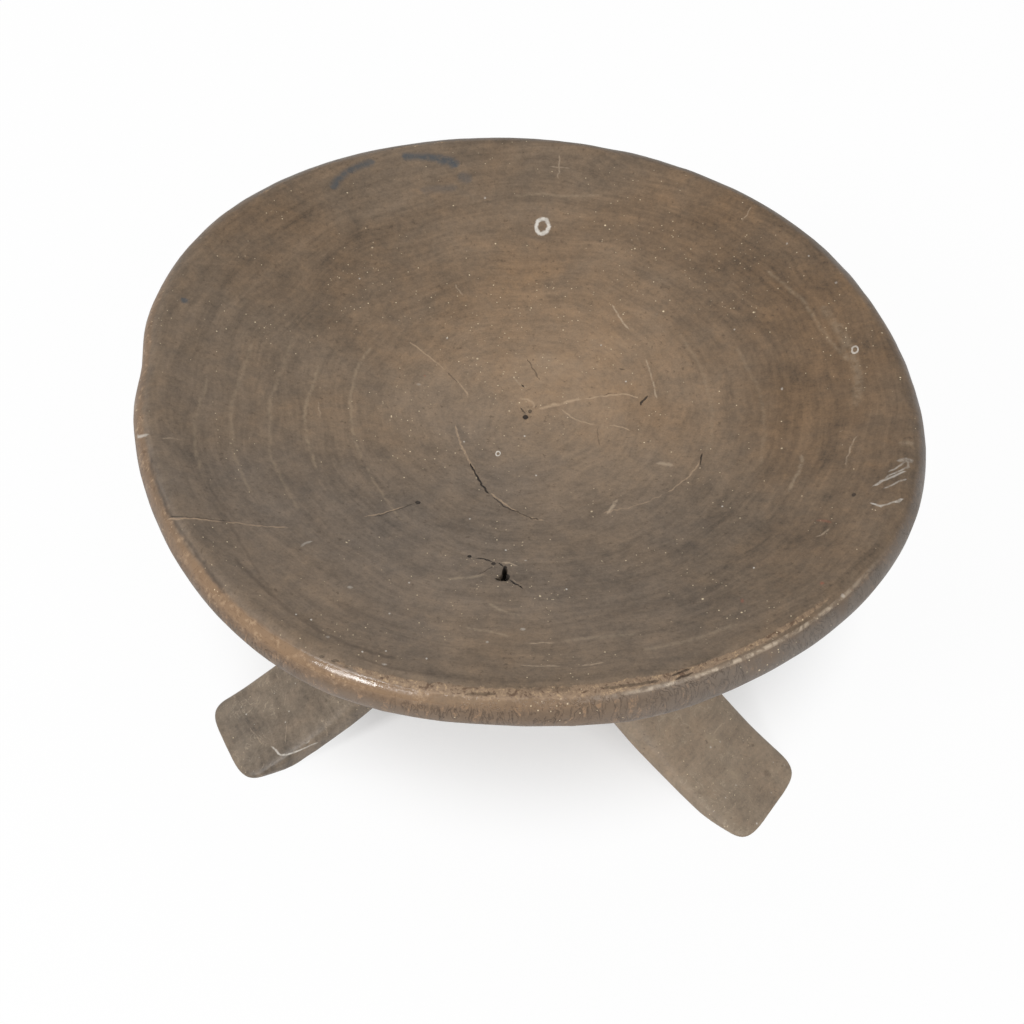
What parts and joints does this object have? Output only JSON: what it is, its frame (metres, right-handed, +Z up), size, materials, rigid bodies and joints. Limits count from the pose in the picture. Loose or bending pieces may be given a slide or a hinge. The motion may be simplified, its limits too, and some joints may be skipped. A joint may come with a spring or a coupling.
{
  "type": "carved tripod stool",
  "caption": "Low carved wooden stool: a broad round dished seat with a rolled rim on splayed, outward-swept legs with flat soles.",
  "frame": {"origin": "on the floor under the middle of the seat", "axes": "+Z up; -Y to the front, between the two front legs; +X to the right of someone looking along +Y"},
  "size_m": [0.357, 0.3612, 0.1974],
  "materials": {
    "seat_wood": "worn satin patina on dark carved hardwood, end grain on the seat, with a rubbed copper-brown rim",
    "leg_wood": "worn grey-brown satin patina on dark carved hardwood, with fine pale scratches"
  },
  "bodies": {
    "root": {"seat": "seat_wood", "leg_front_left": "leg_wood", "leg_front_right": "leg_wood", "leg_back": "leg_wood"}
  },
  "joints": []
}
